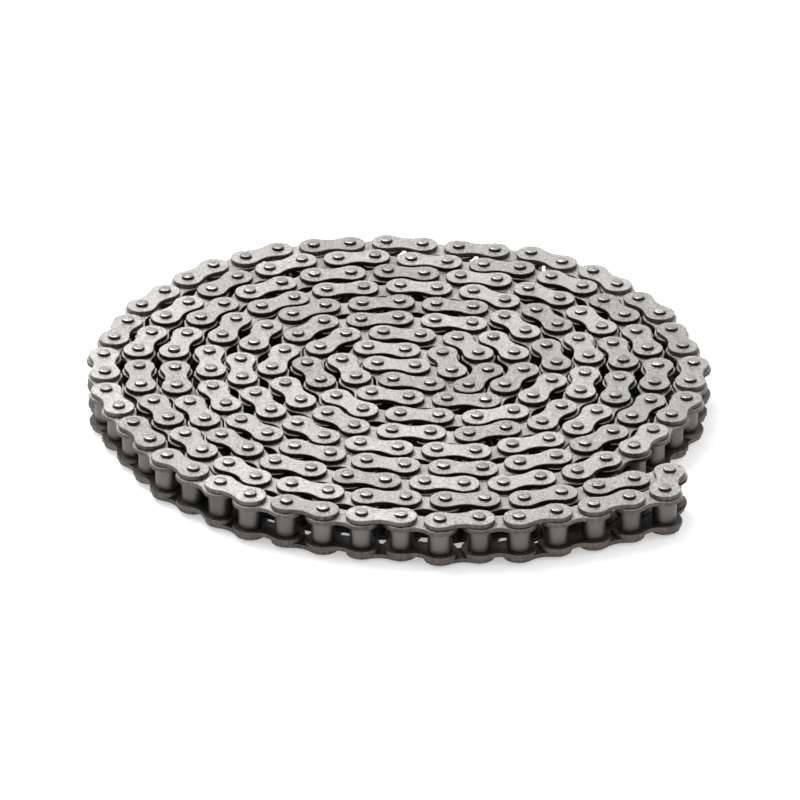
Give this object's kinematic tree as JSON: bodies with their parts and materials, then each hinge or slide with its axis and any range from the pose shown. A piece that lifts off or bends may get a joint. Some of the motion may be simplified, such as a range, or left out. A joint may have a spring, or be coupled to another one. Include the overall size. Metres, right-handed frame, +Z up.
{
  "type": "roller chain",
  "caption": "Endless steel roller chain laid flat in a doubled spiral coil, for driving sprockets; riveted pins, bushes, free-turning rollers, waisted plates.",
  "frame": {"origin": "middle of the coil's footprint, at the lower pin ends that it rests on", "axes": "+Z up along the pins, +Y to the back, along the coil's slightly longer side, with the end of the coil at the front right"},
  "size_m": [0.2092, 0.2106, 0.0166],
  "materials": {
    "plate_steel": "tumbled bare steel, satin with a fine mottled grain",
    "pin_steel": "bright ground pin with a riveted end",
    "roller_steel": "dull grey hardened roller",
    "bush_steel": "plain turned bush"
  },
  "bodies": {
    "coil": {"outer_plates_upper_a": "plate_steel", "outer_plates_lower_a": "plate_steel", "inner_plates_upper_a": "plate_steel", "inner_plates_lower_a": "plate_steel", "pins_a": "pin_steel", "bushes_a": "bush_steel", "rollers_a": "roller_steel", "outer_plates_upper_b": "plate_steel", "outer_plates_lower_b": "plate_steel", "inner_plates_upper_b": "plate_steel", "inner_plates_lower_b": "plate_steel", "pins_b": "pin_steel", "bushes_b": "bush_steel", "rollers_b": "roller_steel"},
    "tail_a1": {"tail_a1_plate_upper": "plate_steel", "tail_a1_plate_lower": "plate_steel", "tail_a1_bushes": "bush_steel"},
    "roller_a1_near": {"tail_a1_roller_near": "roller_steel"},
    "roller_a1_far": {"tail_a1_roller_far": "roller_steel"},
    "tail_a2": {"tail_a2_plate_upper": "plate_steel", "tail_a2_plate_lower": "plate_steel", "tail_a2_pins": "pin_steel"},
    "tail_a3": {"tail_a3_plate_upper": "plate_steel", "tail_a3_plate_lower": "plate_steel", "tail_a3_bushes": "bush_steel"},
    "roller_a3_near": {"tail_a3_roller_near": "roller_steel"},
    "roller_a3_far": {"tail_a3_roller_far": "roller_steel"},
    "tail_a4": {"tail_a4_plate_upper": "plate_steel", "tail_a4_plate_lower": "plate_steel", "tail_a4_pins": "pin_steel"},
    "tail_a5": {"tail_a5_plate_upper": "plate_steel", "tail_a5_plate_lower": "plate_steel", "tail_a5_bushes": "bush_steel"},
    "roller_a5_near": {"tail_a5_roller_near": "roller_steel"},
    "roller_a5_far": {"tail_a5_roller_far": "roller_steel"},
    "tail_b1": {"tail_b1_plate_upper": "plate_steel", "tail_b1_plate_lower": "plate_steel", "tail_b1_bushes": "bush_steel"},
    "roller_b1_near": {"tail_b1_roller_near": "roller_steel"},
    "roller_b1_far": {"tail_b1_roller_far": "roller_steel"},
    "tail_b2": {"tail_b2_plate_upper": "plate_steel", "tail_b2_plate_lower": "plate_steel", "tail_b2_pins": "pin_steel"},
    "tail_b3": {"tail_b3_plate_upper": "plate_steel", "tail_b3_plate_lower": "plate_steel", "tail_b3_bushes": "bush_steel"},
    "roller_b3_near": {"tail_b3_roller_near": "roller_steel"},
    "roller_b3_far": {"tail_b3_roller_far": "roller_steel"},
    "tail_b4": {"tail_b4_plate_upper": "plate_steel", "tail_b4_plate_lower": "plate_steel", "tail_b4_pins": "pin_steel"},
    "tail_b5": {"tail_b5_plate_upper": "plate_steel", "tail_b5_plate_lower": "plate_steel", "tail_b5_bushes": "bush_steel"},
    "roller_b5_near": {"tail_b5_roller_near": "roller_steel"},
    "roller_b5_far": {"tail_b5_roller_far": "roller_steel"},
    "tail_end": {"tail_end_plate_upper": "plate_steel", "tail_end_plate_lower": "plate_steel", "tail_end_pins": "pin_steel"}
  },
  "joints": [
    {"name": "tail_swing", "type": "hinge", "parent": "coil", "child": "tail_a1", "pos_m": [0.02583, -0.09788, 0.0083], "axis": [0, 0, -1], "range_deg": [0, 13]},
    {"name": "roller_a1_near_turn", "type": "hinge", "parent": "tail_a1", "child": "roller_a1_near", "pos_m": [0.02583, -0.09788, 0.0083], "axis": [0, 0, 1], "continuous": true},
    {"name": "roller_a1_far_turn", "type": "hinge", "parent": "tail_a1", "child": "roller_a1_far", "pos_m": [0.03853, -0.0975, 0.0083], "axis": [0, 0, 1], "continuous": true},
    {"name": "pivot_a2", "type": "hinge", "parent": "tail_a1", "child": "tail_a2", "pos_m": [0.03853, -0.0975, 0.0083], "axis": [0, 0, -1], "range_deg": [0, 13]},
    {"name": "pivot_a3", "type": "hinge", "parent": "tail_a2", "child": "tail_a3", "pos_m": [0.05059, -0.09355, 0.0083], "axis": [0, 0, -1], "range_deg": [0, 13]},
    {"name": "roller_a3_near_turn", "type": "hinge", "parent": "tail_a3", "child": "roller_a3_near", "pos_m": [0.05059, -0.09355, 0.0083], "axis": [0, 0, 1], "continuous": true},
    {"name": "roller_a3_far_turn", "type": "hinge", "parent": "tail_a3", "child": "roller_a3_far", "pos_m": [0.06262, -0.08946, 0.0083], "axis": [0, 0, 1], "continuous": true},
    {"name": "pivot_a4", "type": "hinge", "parent": "tail_a3", "child": "tail_a4", "pos_m": [0.06262, -0.08946, 0.0083], "axis": [0, 0, -1], "range_deg": [0, 13]},
    {"name": "pivot_a5", "type": "hinge", "parent": "tail_a4", "child": "tail_a5", "pos_m": [0.07422, -0.08429, 0.0083], "axis": [0, 0, -1], "range_deg": [0, 13]},
    {"name": "roller_a5_near_turn", "type": "hinge", "parent": "tail_a5", "child": "roller_a5_near", "pos_m": [0.07422, -0.08429, 0.0083], "axis": [0, 0, 1], "continuous": true},
    {"name": "roller_a5_far_turn", "type": "hinge", "parent": "tail_a5", "child": "roller_a5_far", "pos_m": [0.08582, -0.07911, 0.0083], "axis": [0, 0, 1], "continuous": true},
    {"name": "pivot_b1", "type": "hinge", "parent": "coil", "child": "tail_b1", "pos_m": [0.02781, -0.08533, 0.0083], "axis": [0, 0, -1], "range_deg": [0, 13]},
    {"name": "roller_b1_near_turn", "type": "hinge", "parent": "tail_b1", "child": "roller_b1_near", "pos_m": [0.02781, -0.08533, 0.0083], "axis": [0, 0, 1], "continuous": true},
    {"name": "roller_b1_far_turn", "type": "hinge", "parent": "tail_b1", "child": "roller_b1_far", "pos_m": [0.04051, -0.08496, 0.0083], "axis": [0, 0, 1], "continuous": true},
    {"name": "pivot_b2", "type": "hinge", "parent": "tail_b1", "child": "tail_b2", "pos_m": [0.04051, -0.08496, 0.0083], "axis": [0, 0, -1], "range_deg": [0, 13]},
    {"name": "pivot_b3", "type": "hinge", "parent": "tail_b2", "child": "tail_b3", "pos_m": [0.05257, -0.081, 0.0083], "axis": [0, 0, -1], "range_deg": [0, 13]},
    {"name": "roller_b3_near_turn", "type": "hinge", "parent": "tail_b3", "child": "roller_b3_near", "pos_m": [0.05257, -0.081, 0.0083], "axis": [0, 0, 1], "continuous": true},
    {"name": "roller_b3_far_turn", "type": "hinge", "parent": "tail_b3", "child": "roller_b3_far", "pos_m": [0.0646, -0.07691, 0.0083], "axis": [0, 0, 1], "continuous": true},
    {"name": "pivot_b4", "type": "hinge", "parent": "tail_b3", "child": "tail_b4", "pos_m": [0.0646, -0.07691, 0.0083], "axis": [0, 0, -1], "range_deg": [0, 13]},
    {"name": "pivot_b5", "type": "hinge", "parent": "tail_b4", "child": "tail_b5", "pos_m": [0.0762, -0.07174, 0.0083], "axis": [0, 0, -1], "range_deg": [0, 13]},
    {"name": "roller_b5_near_turn", "type": "hinge", "parent": "tail_b5", "child": "roller_b5_near", "pos_m": [0.0762, -0.07174, 0.0083], "axis": [0, 0, 1], "continuous": true},
    {"name": "roller_b5_far_turn", "type": "hinge", "parent": "tail_b5", "child": "roller_b5_far", "pos_m": [0.0878, -0.06657, 0.0083], "axis": [0, 0, 1], "continuous": true},
    {"name": "pivot_end", "type": "hinge", "parent": "tail_a5", "child": "tail_end", "pos_m": [0.08582, -0.07911, 0.0083], "axis": [0, 0, -1], "range_deg": [-65, 0]}
  ],
  "couplings": [
    {"joint": "pivot_a2", "follows": "tail_swing", "ratio": 1},
    {"joint": "pivot_a3", "follows": "tail_swing", "ratio": 1},
    {"joint": "pivot_a4", "follows": "tail_swing", "ratio": 1},
    {"joint": "pivot_a5", "follows": "tail_swing", "ratio": 1},
    {"joint": "pivot_b1", "follows": "tail_swing", "ratio": 1},
    {"joint": "pivot_b2", "follows": "tail_swing", "ratio": 1},
    {"joint": "pivot_b3", "follows": "tail_swing", "ratio": 1},
    {"joint": "pivot_b4", "follows": "tail_swing", "ratio": 1},
    {"joint": "pivot_b5", "follows": "tail_swing", "ratio": 1},
    {"joint": "pivot_end", "follows": "tail_swing", "ratio": -5}
  ]
}
